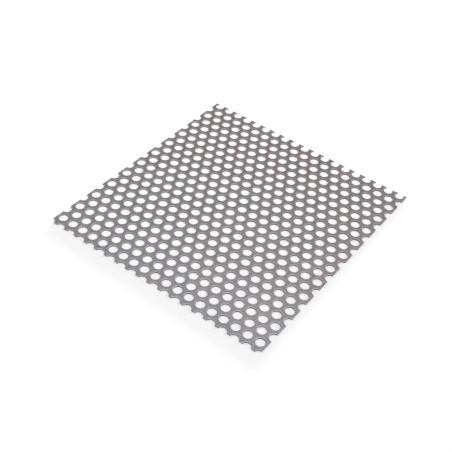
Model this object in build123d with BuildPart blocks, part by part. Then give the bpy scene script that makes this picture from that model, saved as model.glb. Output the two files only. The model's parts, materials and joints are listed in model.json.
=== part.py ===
from build123d import *
import math
import os

# Perforated steel sheet: one flat blank, punched all over with round holes in staggered rows,
# then sheared to size through the outermost holes, so that every edge is scalloped.
# Millimetres. +X runs along the hole rows, +Y across them and +Z up through the gauge.
# The origin is on the underside, below the middle of the sheet.

# The sheared blank
sheet_length = 190.0  # along the hole rows
sheet_width = 201.0  # across the hole rows
sheet_gauge = 1.0

# The perforation
hole_diameter = 7.0
hole_pitch = 10.0  # centre to centre, from a hole to its neighbours in the next row
stagger_angle = 60.0  # from the row to that neighbour, degrees: 60 spaces all holes equally
pattern_offset = -1.6  # the pattern's middle from the blank's, across the rows

hole_radius = hole_diameter / 2
row_spacing = hole_pitch * math.sin(math.radians(stagger_angle))
stagger_step = hole_pitch * math.cos(math.radians(stagger_angle))
spacing_in_row = 2 * stagger_step

# Every hole that reaches the blank is punched, whole or cut by an edge. Along the rows the
# pattern stands centred: half of the rows have a hole at mid-length, and the rows between
# them, one stagger step along, have a web there. Across the rows it was sheared off centre:
# the -Y edge keeps a little less than half of each hole in its way, the +Y edge most of each.
reach_along = sheet_length / 2 + hole_radius
reach_across = sheet_width / 2 + hole_radius + abs(pattern_offset)
holes_in_centred_row = 2 * math.floor(reach_along / spacing_in_row) + 1
holes_in_staggered_row = 2 * math.floor((reach_along + stagger_step) / spacing_in_row)
rows_of_each_kind = math.floor((reach_across + row_spacing / 2) / row_spacing)


def punch_rows(holes_in_row, offset_across):
    """Punch every second row of the stagger, moved off the pattern's middle by offset_across."""
    with Locations((0, pattern_offset + offset_across)):
        with GridLocations(spacing_in_row, 2 * row_spacing, holes_in_row, rows_of_each_kind):
            Circle(hole_radius, mode=Mode.SUBTRACT)


with BuildPart() as perforated_sheet:
    with BuildSketch() as punched_blank:
        Rectangle(sheet_length, sheet_width)
        punch_rows(holes_in_centred_row, row_spacing / 2)
        punch_rows(holes_in_staggered_row, -row_spacing / 2)
    extrude(amount=sheet_gauge)

perforated_sheet.part.label = "perforated_sheet"

os.makedirs("parts", exist_ok=True)
export_step(perforated_sheet.part, "parts/perforated_sheet.step")
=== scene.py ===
"""Perforated steel sheet: the looks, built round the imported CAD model.

One piece, the punched sheet, stands for the CAD solid. It has the same outline, gauge and
holes, and adds what punching and shearing leave on the metal: a rolled-in rim, a burnished
land and a torn zone in every hole, and a small rim along the sheared edges. The sheet lies
flat, with X along its rows of holes. "Near" means -Y and "far" means +Y. Metres throughout.
"""

import json
import math

import bmesh
import bpy
from mathutils import Euler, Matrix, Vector


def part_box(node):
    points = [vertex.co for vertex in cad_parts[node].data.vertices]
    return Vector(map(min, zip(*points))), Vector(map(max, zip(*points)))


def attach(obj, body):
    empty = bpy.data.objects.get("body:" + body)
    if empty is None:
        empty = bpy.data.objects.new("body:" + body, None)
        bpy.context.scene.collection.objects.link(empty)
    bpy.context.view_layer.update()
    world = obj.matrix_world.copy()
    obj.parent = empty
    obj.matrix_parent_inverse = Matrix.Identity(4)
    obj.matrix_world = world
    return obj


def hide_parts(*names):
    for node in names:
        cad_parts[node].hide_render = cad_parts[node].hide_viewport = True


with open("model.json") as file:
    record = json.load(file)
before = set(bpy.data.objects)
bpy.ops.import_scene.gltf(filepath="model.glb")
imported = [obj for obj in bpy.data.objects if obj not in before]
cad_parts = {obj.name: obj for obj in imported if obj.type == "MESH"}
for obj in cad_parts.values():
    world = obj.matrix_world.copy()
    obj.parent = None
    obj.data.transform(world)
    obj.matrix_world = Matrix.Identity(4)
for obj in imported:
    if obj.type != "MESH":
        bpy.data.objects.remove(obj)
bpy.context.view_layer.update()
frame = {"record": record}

MM = 0.001

# ---------------------------------------------------------------- sizes, from the frame
SHEET_NODE = "perforated_sheet"
sheet_low, sheet_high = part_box(SHEET_NODE)
GAUGE = sheet_high.z - sheet_low.z

mounts = {mount["name"]: mount for mount in frame["record"]["mounts"]}
inner = mounts["inner_holes"]
PITCHES_BETWEEN_INNER_HOLES = 4
PITCH = inner["dims"]["spacing_x_mm"] * MM / PITCHES_BETWEEN_INNER_HOLES
HOLE_RADIUS = inner["dims"]["hole_r_mm"] * MM
ROW_SPACING = PITCH * math.sqrt(3) / 2

# ---------------------------------------------------------------- the piece
# Steps of an edge, from the top face down: how far each lies outside the cut line, and its
# depth. A punched hole has a rolled-in rim, the burnished land, and the torn zone, which the
# punch leaves slightly wider towards the underside. A sheared edge has a smaller rim alone.
ROLLED_RIM = ((0.75 * MM, 0.0), (0.45 * MM, 0.03 * MM), (0.15 * MM, 0.11 * MM), (0.0, 0.24 * MM))
HOLE_PROFILE = ROLLED_RIM + ((0.09 * MM, GAUGE),)
SHEARED_RIM = ((0.20 * MM, 0.0), (0.08 * MM, 0.02 * MM), (0.0, 0.08 * MM))

POINTS_ROUND_HOLE = 30  # with half a step of turn, neighbouring cells share their borders
WELD_DISTANCE = 1e-6
CUT_TOLERANCE = 1e-7
SHARP_ANGLE = math.radians(50)
UPRIGHT_FACE = 0.45  # a face was cut if the vertical part of its normal is less than this
MILL_FACES, CUT_FACES = 0, 1  # material slots of the piece


def hole_centres():
    """Centres of all holes that reach the sheet, and of one more ring of cells round it."""
    first_x = inner["pos_m"][0] + PITCHES_BETWEEN_INNER_HOLES / 2 * PITCH
    first_y = inner["pos_m"][1] + inner["dims"]["spacing_y_mm"] * MM / 2
    rows_up = math.ceil((sheet_high.y - first_y) / ROW_SPACING) + 1
    rows_down = math.ceil((first_y - sheet_low.y) / ROW_SPACING) + 1
    columns = math.ceil((first_x - sheet_low.x) / PITCH) + 1
    for row in range(-rows_down, rows_up + 1):
        stagger = PITCH / 2 if row % 2 else 0.0
        for column in range(-columns, columns + 1):
            x = first_x + column * PITCH + stagger
            if sheet_low.x - PITCH < x < sheet_high.x + PITCH:
                yield x, first_y + row * ROW_SPACING


def cell_border(angle):
    """Distance from a hole's centre to the border of its hexagonal cell."""
    sixth = math.pi / 3
    off_middle = angle - sixth * round(angle / sixth)
    return PITCH / 2 / math.cos(off_middle)


def ring(bm, centre, radius_at, z):
    """One ring of vertices round a hole."""
    x, y = centre
    made = []
    for k in range(POINTS_ROUND_HOLE):
        angle = 2 * math.pi * (k + 0.5) / POINTS_ROUND_HOLE
        radius = radius_at(angle)
        made.append(bm.verts.new((x + radius * math.cos(angle), y + radius * math.sin(angle), z)))
    return made


def add_cell(bm, centre):
    """The metal that belongs to one hole: a hexagon of sheet with the punched hole in it."""
    rings = [ring(bm, centre, cell_border, sheet_high.z)]
    for outside, depth in HOLE_PROFILE:
        rings.append(ring(bm, centre, lambda angle: HOLE_RADIUS + outside, sheet_high.z - depth))
    rings.append(ring(bm, centre, cell_border, sheet_low.z))
    for upper, lower in zip(rings, rings[1:]):
        for k in range(POINTS_ROUND_HOLE):
            n = (k + 1) % POINTS_ROUND_HOLE
            bm.faces.new((upper[k], upper[n], lower[n], lower[k]))


def cut_off(bm, point, normal):
    """Cut away what lies on the normal's side of a plane, and close the cut."""
    everything = bm.verts[:] + bm.edges[:] + bm.faces[:]
    cut = bmesh.ops.bisect_plane(bm, geom=everything, dist=CUT_TOLERANCE, plane_co=point,
                                 plane_no=normal, clear_outer=True)
    edges = [e for e in cut["geom_cut"] if isinstance(e, bmesh.types.BMEdge)]
    bmesh.ops.holes_fill(bm, edges=edges, sides=0)


def shear(bm, edge_point, outward):
    """Cut the sheet off square at one edge, then roll that edge's top in."""
    cut_off(bm, edge_point, outward)
    up = Vector((0, 0, 1))
    for (outer, shallow), (inner_step, deep) in zip(SHEARED_RIM, SHEARED_RIM[1:]):
        on_rim = edge_point - outer * outward
        on_rim.z = sheet_high.z - shallow
        slope = outward * (deep - shallow) + up * (outer - inner_step)
        cut_off(bm, on_rim, slope.normalized())


def punched_sheet():
    """The whole sheet: a cell for every hole, welded together and sheared to size."""
    bm = bmesh.new()
    for centre in hole_centres():
        add_cell(bm, centre)
    bmesh.ops.remove_doubles(bm, verts=bm.verts, dist=WELD_DISTANCE)
    bmesh.ops.recalc_face_normals(bm, faces=bm.faces)
    for corner, direction in ((sheet_high, 1), (sheet_low, -1)):
        shear(bm, corner.copy(), Vector((direction, 0, 0)))
        shear(bm, corner.copy(), Vector((0, direction, 0)))
    bmesh.ops.recalc_face_normals(bm, faces=bm.faces)
    for face in bm.faces:
        face.smooth = True
        face.material_index = CUT_FACES if abs(face.normal.z) < UPRIGHT_FACE else MILL_FACES
    for edge in bm.edges:
        if edge.is_manifold and edge.calc_face_angle() > SHARP_ANGLE:
            edge.smooth = False
    mesh = bpy.data.meshes.new("punched_sheet")
    bm.to_mesh(mesh)
    bm.free()
    piece = bpy.data.objects.new("punched_sheet", mesh)
    bpy.context.scene.collection.objects.link(piece)
    weighted = piece.modifiers.new("face_weighted_normals", "WEIGHTED_NORMAL")
    weighted.keep_sharp = True
    weighted.mode = "FACE_AREA"
    return piece


# ---------------------------------------------------------------- shading by nodes
class Shading:
    """A new material or world, and short ways to add nodes to it."""

    def __init__(self, owner, output_type):
        owner.use_nodes = True
        self.nodes, self.links = owner.node_tree.nodes, owner.node_tree.links
        self.nodes.clear()
        self.output = self.nodes.new(output_type)

    def give(self, socket, value):
        """Set an input to a value, or link it if the value is another node's output."""
        if isinstance(value, bpy.types.NodeSocket):
            self.links.new(value, socket)
        else:
            socket.default_value = value

    def add(self, node_type, inputs=(), **settings):
        """Add a node, with its inputs by name or number."""
        node = self.nodes.new(node_type)
        for name, value in settings.items():
            setattr(node, name, value)
        for name, value in dict(inputs).items():
            self.give(node.inputs[name], value)
        return node

    def math(self, operation, a, b=0.0):
        return self.add("ShaderNodeMath", {0: a, 1: b}, operation=operation).outputs[0]

    def weighted(self, *parts):
        """The sum of some values, each times its own weight."""
        products = [self.math("MULTIPLY", value, weight) for value, weight in parts]
        result = products[0]
        for product in products[1:]:
            result = self.math("ADD", result, product)
        return result

    def ramp(self, value, low, high, to_low=0.0, to_high=1.0):
        """Ease a value from one range into another."""
        inputs = {"Value": value, "From Min": low, "From Max": high,
                  "To Min": to_low, "To Max": to_high}
        node = self.add("ShaderNodeMapRange", inputs, interpolation_type="SMOOTHSTEP")
        return node.outputs["Result"]

    def mix(self, factor, a, b):
        """Mix two colours."""
        node = self.add("ShaderNodeMix", data_type="RGBA")
        for socket, value in zip((node.inputs[0], node.inputs[6], node.inputs[7]), (factor, a, b)):
            self.give(socket, value)
        return node.outputs[2]

    def dot(self, a, b):
        node = self.add("ShaderNodeVectorMath", {0: a, 1: b}, operation="DOT_PRODUCT")
        return node.outputs["Value"]

    def noise(self, place, size, detail=3.0, roughness=0.55, stretch=(1, 1, 1), turn=0.0):
        """Noise whose features are about `size` metres, longer where stretch is more than 1."""
        mapping = self.add("ShaderNodeMapping", {
            "Vector": place, "Rotation": (0, 0, turn), "Scale": [size * s for s in stretch],
        }, vector_type="TEXTURE")
        texture = self.add("ShaderNodeTexNoise", {
            "Vector": mapping.outputs[0], "Scale": 1.0, "Detail": detail, "Roughness": roughness})
        return texture.outputs["Fac"]

    def bump(self, height, **inputs):
        """A normal that follows a height, at a Strength and a Distance."""
        return self.add("ShaderNodeBump", {"Height": height, **inputs}).outputs[0]

    def metal(self, colour, rough, normal):
        """Finish a material as bare metal."""
        shader = self.add("ShaderNodeBsdfPrincipled", {
            "Base Color": colour, "Metallic": 1.0, "Roughness": rough, "Normal": normal})
        self.finish(shader.outputs["BSDF"])

    def finish(self, socket):
        self.links.new(socket, self.output.inputs["Surface"])


def new_material(name):
    material = bpy.data.materials.new(name)
    return material, Shading(material, "ShaderNodeOutputMaterial")


# ---------------------------------------------------------------- the steel
# Colours in pairs are the dark and the light end of a noise. A share says how much of a colour
# is mixed in at most. A band is where a ramp starts and where it is complete.
# FAR_STEEL is painted warmer and a little darker than NEAR_STEEL, a painted reflection that grows
# towards the far edge.
NEAR_STEEL = ((0.254, 0.250, 0.260, 1), (0.323, 0.317, 0.329, 1))
FAR_STEEL = ((0.254, 0.212, 0.209, 1), (0.327, 0.271, 0.267, 1))  # slightly warmer
SCRATCHED = (0.42, 0.40, 0.40, 1)
SCRATCHED_SHARE = 0.5
MILL_ROUGHNESS = (0.38, 0.50)
TONE_NOISE_BAND = (0.38, 0.62)
BROAD_NOISE_BAND = (0.36, 0.64)
SCRATCH_NOISE_BAND = (0.70, 0.74)

# The rims, by height. The underside, the die side of the punch, has none.
# Where the rim starts to slope it is brighter: partly rubbed metal and partly a painted highlight.
RIM_WEAR_AND_HIGHLIGHT = (0.42, 0.41, 0.42, 1)
RIM_WEAR_AND_HIGHLIGHT_SHARE = 0.8
RIM_WEAR_AND_HIGHLIGHT_BAND = (sheet_high.z - 0.004 * MM, sheet_high.z - 0.03 * MM)
# The drawn-in rim is painted shade: darkest near the +X +Y corner and a little bluish elsewhere.
DRAWN_RIM_SHADE_DARKEST = (0.15, 0.15, 0.17, 1)  # in the dark corner
DRAWN_RIM_SHADE = (0.265, 0.275, 0.30, 1)
DRAWN_RIM_SHADE_BAND = (sheet_high.z - 0.07 * MM, sheet_high.z - 0.13 * MM)
UNDERSIDE_BAND = (sheet_low.z + 0.3 * GAUGE, sheet_low.z + 0.2 * GAUGE)

# The cut faces. The height where the torn zone starts wanders by up to half of TORN_WANDER,
# up and down.
# The cut faces are painted near black, painted shade of the hole walls, over the burnished land
# and the torn zone.
BURNISHED_IN_PAINTED_SHADE = ((0.05, 0.052, 0.06, 1), (0.11, 0.115, 0.13, 1))
TORN_IN_PAINTED_SHADE = ((0.04, 0.042, 0.05, 1), (0.12, 0.125, 0.145, 1))
TORN_BAND = (sheet_low.z + 0.60 * GAUGE, sheet_low.z + 0.52 * GAUGE)
TORN_WANDER = 0.25 * MM
CUT_ROUGHNESS = (0.24, 0.58)  # burnished, torn
# A pale bluish painted reflection on the cut faces, mixed in away from the +X +Y corner.
CUT_PAINTED_REFLECTION = (0.55, 0.57, 0.62, 1)  # away from the dark corner
CUT_PAINTED_REFLECTION_SHARE = 0.15
# Along the near edge the cut faces are painted lighter, a painted highlight.
NEAR_EDGE_CUT_HIGHLIGHT = (0.38, 0.38, 0.40, 1)
NEAR_EDGE_CUT_HIGHLIGHT_SHARE = 0.5
NEAR_EDGE_HIGHLIGHT_BAND = (sheet_low.y + 6 * MM, sheet_low.y + 3 * MM)
# Painted shade on the rims and cuts is darkest near the +X +Y corner and fades over this band.
SHADED_CORNER_BAND = (50 * MM, 170 * MM)  # distances from the +X +Y corner


def outside_shaded_corner(s, place):
    """0 near the +X +Y corner, where the painted shade on the rims and cuts is darkest, and 1 away
    from it.
    """
    away = s.add("ShaderNodeVectorMath", {0: place, 1: sheet_high}, operation="DISTANCE")
    return s.ramp(away.outputs["Value"], *SHADED_CORNER_BAND)


def mill_steel():
    """Sheet as it comes from the mill: grey, matt, faintly streaked, mottled and scratched;
    painted reflection and shade added.
    """
    material, s = new_material("mill_steel")
    place = s.add("ShaderNodeTexCoord").outputs["Object"]
    along = s.add("ShaderNodeSeparateXYZ", {0: place})
    height = along.outputs["Z"]
    mottle = s.noise(place, size=28 * MM, detail=5, roughness=0.6)
    tint = s.noise(place, size=60 * MM, detail=2)
    blotch = s.noise(place, size=3.5 * MM, detail=4)
    streaks = s.noise(place, size=0.9 * MM, detail=4, stretch=(40, 1, 1))
    grain = s.noise(place, size=0.16 * MM, detail=2)
    smudge = s.noise(place, size=35 * MM, detail=3, stretch=(1.6, 1, 1), turn=0.6)
    scratch = s.noise(place, size=0.5 * MM, detail=2, stretch=(70, 1, 1), turn=0.42)
    wave = s.noise(place, size=45 * MM, detail=1)

    tone = s.weighted((mottle, 0.34), (blotch, 0.34), (streaks, 0.32))
    tone = s.ramp(tone, *TONE_NOISE_BAND)
    # Painted reflection: towards the far edge the colour turns warmer and a little darker, with
    # some random tint mixed in.
    to_far_edge = s.ramp(along.outputs["Y"], sheet_low.y, sheet_high.y)
    reflection_and_tint_drift = s.weighted((to_far_edge, 0.7), (s.ramp(tint, *BROAD_NOISE_BAND), 0.3))
    colour = s.mix(reflection_and_tint_drift, s.mix(tone, *NEAR_STEEL), s.mix(tone, *FAR_STEEL))

    # The rims are brighter where they start to slope, partly rubbed and partly a painted
    # highlight, and darker where they were drawn in, which is painted shade.
    underneath = s.ramp(height, *UNDERSIDE_BAND)
    rim_wear_and_highlight = s.math("SUBTRACT", s.ramp(height, *RIM_WEAR_AND_HIGHLIGHT_BAND), underneath)
    drawn_rim_shade = s.math("SUBTRACT", s.ramp(height, *DRAWN_RIM_SHADE_BAND), underneath)
    colour = s.mix(s.math("MULTIPLY", rim_wear_and_highlight, RIM_WEAR_AND_HIGHLIGHT_SHARE), colour, RIM_WEAR_AND_HIGHLIGHT)
    # Painted shade on the drawn-in rim, darkest near the +X +Y corner.
    drawn_rim_shade_colour = s.mix(outside_shaded_corner(s, place), DRAWN_RIM_SHADE_DARKEST, DRAWN_RIM_SHADE)
    colour = s.mix(drawn_rim_shade, colour, drawn_rim_shade_colour)
    scratched = s.ramp(scratch, *SCRATCH_NOISE_BAND, to_high=SCRATCHED_SHARE)
    colour = s.mix(scratched, colour, SCRATCHED)

    rough = s.weighted((smudge, 0.6), (streaks, 0.4))
    rough = s.ramp(rough, *BROAD_NOISE_BAND, *MILL_ROUGHNESS)
    relief = s.weighted((grain, 0.5), (streaks, 0.9), (blotch, 0.8))
    fine = s.bump(relief, Strength=0.35, Distance=0.02 * MM)
    s.metal(colour, rough, s.bump(wave, Strength=1.0, Distance=0.5 * MM, Normal=fine))
    return material


def cut_steel():
    """Bare cut metal in painted shade: smooth where the tool rubbed it, coarse and duller where it
    tore.
    """
    material, s = new_material("cut_steel")
    place = s.add("ShaderNodeTexCoord").outputs["Object"]
    along = s.add("ShaderNodeSeparateXYZ", {0: place})
    torn_edge = s.noise(place, size=0.8 * MM, detail=3)
    drag = s.noise(place, size=0.10 * MM, detail=3, stretch=(1, 1, 9))
    pits = s.noise(place, size=0.22 * MM, detail=4, roughness=0.7)

    wander = s.math("MULTIPLY", s.math("SUBTRACT", torn_edge, 0.5), TORN_WANDER)
    level = s.math("ADD", along.outputs["Z"], wander)
    torn = s.ramp(level, *TORN_BAND)
    # Painted shade: the burnished and torn colours are both near black.
    colour = s.mix(torn, s.mix(drag, *BURNISHED_IN_PAINTED_SHADE), s.mix(pits, *TORN_IN_PAINTED_SHADE))
    # Painted reflection on the cuts, away from the +X +Y corner.
    cut_painted_reflection = s.math("MULTIPLY", outside_shaded_corner(s, place), CUT_PAINTED_REFLECTION_SHARE)
    colour = s.mix(cut_painted_reflection, colour, CUT_PAINTED_REFLECTION)
    # Painted highlight on the cut faces along the near edge.
    near_edge_highlight = s.ramp(along.outputs["Y"], *NEAR_EDGE_HIGHLIGHT_BAND)
    colour = s.mix(s.math("MULTIPLY", near_edge_highlight, NEAR_EDGE_CUT_HIGHLIGHT_SHARE), colour, NEAR_EDGE_CUT_HIGHLIGHT)

    rough = s.ramp(torn, 0.0, 1.0, *CUT_ROUGHNESS)
    relief = s.math("ADD", s.math("MULTIPLY", drag, 0.25), s.math("MULTIPLY", pits, torn))
    s.metal(colour, rough, s.bump(relief, Strength=0.5, Distance=0.03 * MM))
    return material


# ---------------------------------------------------------------- the floor
FLOOR_SIZE = 20.0
FLOOR_GAP = 0.02 * MM
PAPER_COLOUR = (0.786, 0.786, 0.769, 1)
# What the floor adds to the light on its paper, for the camera and in reflections. Under the sheet
# this is painted light:
# least at the near +X corner, where it leaves a painted shade, and growing over its band, two
# distances from the middle towards that corner.
GLOW_EVERYWHERE = 0.095
PAINTED_LIGHT_UNDER_SHEET = (0.035, 0.14)
PAINTED_LIGHT_UNDER_BAND = (110 * MM, -30 * MM)
SHEET_EDGE_FADE = 15 * MM
GLOW_FAR_OFF = 0.2
FAR_OFF_BAND = (0.4, 2.5)


def pale_floor():
    """The level floor under the sheet. It shows white to the camera and in the metal."""
    below_sheet = (0, 0, sheet_low.z - FLOOR_GAP)
    bpy.ops.mesh.primitive_plane_add(size=FLOOR_SIZE, location=below_sheet)
    floor = bpy.context.active_object
    floor.name = "floor"
    material, s = new_material("pale_floor")
    paper = s.add("ShaderNodeBsdfDiffuse", {"Color": PAPER_COLOUR})
    path = s.add("ShaderNodeLightPath")
    seen = s.math("MAXIMUM", path.outputs["Is Camera Ray"], path.outputs["Is Glossy Ray"])
    seen = s.math("MAXIMUM", seen, path.outputs["Is Transmission Ray"])

    place = s.add("ShaderNodeTexCoord").outputs["Object"]
    along = s.add("ShaderNodeSeparateXYZ", {0: place})
    from_side = s.ramp(along.outputs["X"], sheet_high.x, sheet_high.x - SHEET_EDGE_FADE)
    from_front = s.ramp(along.outputs["Y"], sheet_low.y, sheet_low.y + SHEET_EDGE_FADE)
    covered = s.math("MULTIPLY", from_side, from_front)
    towards_near_corner = Vector((sheet_high.x, sheet_low.y, 0)).normalized()
    forward = s.dot(place, towards_near_corner)
    # Painted light under the sheet, least towards the near +X corner.
    painted_light_under = s.ramp(forward, *PAINTED_LIGHT_UNDER_BAND, *PAINTED_LIGHT_UNDER_SHEET)
    strength = s.math("ADD", s.math("MULTIPLY", covered, painted_light_under), GLOW_EVERYWHERE)
    away = s.add("ShaderNodeVectorMath", {0: place}, operation="LENGTH").outputs["Value"]
    strength = s.math("ADD", strength, s.ramp(away, *FAR_OFF_BAND, to_high=GLOW_FAR_OFF))

    glow = s.add("ShaderNodeEmission", {"Strength": s.math("MULTIPLY", seen, strength)})
    both = s.add("ShaderNodeAddShader", {0: paper.outputs[0], 1: glow.outputs[0]})
    s.finish(both.outputs[0])
    floor.data.materials.append(material)
    return floor


# ---------------------------------------------------------------- the light
# The studio round the sheet. The bands of its walls and ceiling are sines of the elevation,
# and the window's are cosines of the angle from its middle.
HORIZON_COLOUR = (1, 1, 1, 1)
HORIZON_LEVEL = 1.0
WALL_COLOUR = (1.0, 0.85, 0.84, 1)
WALL_COLOUR_BAND = (0.12, 0.34)
WALL_LEVEL = 0.46
WALL_LEVEL_BAND = (0.12, 0.40)
CEILING_COLOUR = (0.97, 0.985, 1.0, 1)
CEILING_COLOUR_BAND = (0.58, 0.82)
CEILING_ADDS = 0.82
CEILING_LEVEL_BAND = (0.60, 0.92)
WINDOW_COLOUR = (0.84, 0.92, 1.0, 1)
WINDOW_ADDS = 1.5
WINDOW_BAND = (0.84, 0.96)
WINDOW_TOWARDS = (0.51, 0.61, 0.61)

LOW_WINDOW_TURN = math.radians(22)  # from +Y towards -X
LOW_WINDOW_AWAY = 5.0
LOW_WINDOW_HEIGHT = 0.26
LOW_WINDOW_SIZE = (3.0, 0.26)
LOW_WINDOW_WATTS = 840
SOFTBOX_PLACE = (-0.10, 0.20, 0.75)
SOFTBOX_SIZE = (0.6, 0.6)
SOFTBOX_WATTS = 0.42


def studio_world():
    """A pale studio: white near the horizon, dimmer walls, a bright ceiling and a window."""
    world = bpy.data.worlds.new("studio")
    bpy.context.scene.world = world
    s = Shading(world, "ShaderNodeOutputWorld")
    direction = s.add("ShaderNodeTexCoord").outputs["Generated"]
    up = s.add("ShaderNodeSeparateXYZ", {0: direction}).outputs["Z"]
    walls = s.ramp(up, *WALL_LEVEL_BAND, HORIZON_LEVEL, WALL_LEVEL)
    ceiling = s.ramp(up, *CEILING_LEVEL_BAND, to_high=CEILING_ADDS)
    window = s.ramp(s.dot(direction, WINDOW_TOWARDS), *WINDOW_BAND)
    level = s.math("ADD", walls, ceiling)
    level = s.math("ADD", level, s.math("MULTIPLY", window, WINDOW_ADDS))
    tint = s.mix(s.ramp(up, *WALL_COLOUR_BAND), HORIZON_COLOUR, WALL_COLOUR)
    tint = s.mix(s.ramp(up, *CEILING_COLOUR_BAND), tint, CEILING_COLOUR)
    tint = s.mix(window, tint, WINDOW_COLOUR)
    light = s.add("ShaderNodeBackground", {"Color": tint, "Strength": level})
    s.finish(light.outputs[0])


def soft_light(name, location, size, watts):
    """A rectangular lamp that faces the middle of the sheet's underside, the origin."""
    light = bpy.data.lights.new(name, "AREA")
    light.shape = "RECTANGLE"
    light.size, light.size_y = size
    light.energy = watts
    lamp = bpy.data.objects.new(name, light)
    lamp.location = location
    lamp.rotation_euler = (-Vector(location)).to_track_quat("-Z", "Y").to_euler()
    bpy.context.scene.collection.objects.link(lamp)
    return lamp


def low_window(floor):
    """A wide low light from the far side, for the floor alone: it shows the sheet's shadow."""
    away = Vector((-math.sin(LOW_WINDOW_TURN), math.cos(LOW_WINDOW_TURN), 0)) * LOW_WINDOW_AWAY
    location = away + Vector((0, 0, LOW_WINDOW_HEIGHT))
    lamp = soft_light("low_window", location, LOW_WINDOW_SIZE, LOW_WINDOW_WATTS)
    lit = bpy.data.collections.new("lit_by_low_window")
    lit.objects.link(floor)
    lamp.light_linking.receiver_collection = lit


# ---------------------------------------------------------------- the view
VIEW_TURN = math.radians(33.91)  # from -Y towards +X
VIEW_ELEVATION = math.radians(43.57)
VIEW_ROLL = math.radians(4.93)
VIEW_TARGET = Vector((6.79 * MM, -20.39 * MM, sheet_high.z))
VIEW_DISTANCE = 594 * MM
LENS_IN_MM = 63.34


def photo_camera():
    """A camera that looks down on the sheet at the photo's angle, a little rolled."""
    back = Vector((math.sin(VIEW_TURN) * math.cos(VIEW_ELEVATION),
                   -math.cos(VIEW_TURN) * math.cos(VIEW_ELEVATION),
                   math.sin(VIEW_ELEVATION)))
    data = bpy.data.cameras.new("photo_camera")
    data.lens = LENS_IN_MM
    camera = bpy.data.objects.new("photo_camera", data)
    camera.location = VIEW_TARGET + VIEW_DISTANCE * back
    camera.rotation_mode = "QUATERNION"
    level = (-back).to_track_quat("-Z", "Y")
    camera.rotation_quaternion = level @ Euler((0, 0, VIEW_ROLL)).to_quaternion()
    bpy.context.scene.collection.objects.link(camera)
    bpy.context.scene.camera = camera


# ---------------------------------------------------------------- the scene
sheet = punched_sheet()
sheet.data.materials.append(mill_steel())
sheet.data.materials.append(cut_steel())
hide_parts(SHEET_NODE)
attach(sheet, "root")

floor = pale_floor()
studio_world()
low_window(floor)
soft_light("overhead_softbox", SOFTBOX_PLACE, SOFTBOX_SIZE, SOFTBOX_WATTS)
photo_camera()
bpy.context.scene.view_settings.view_transform = "Standard"
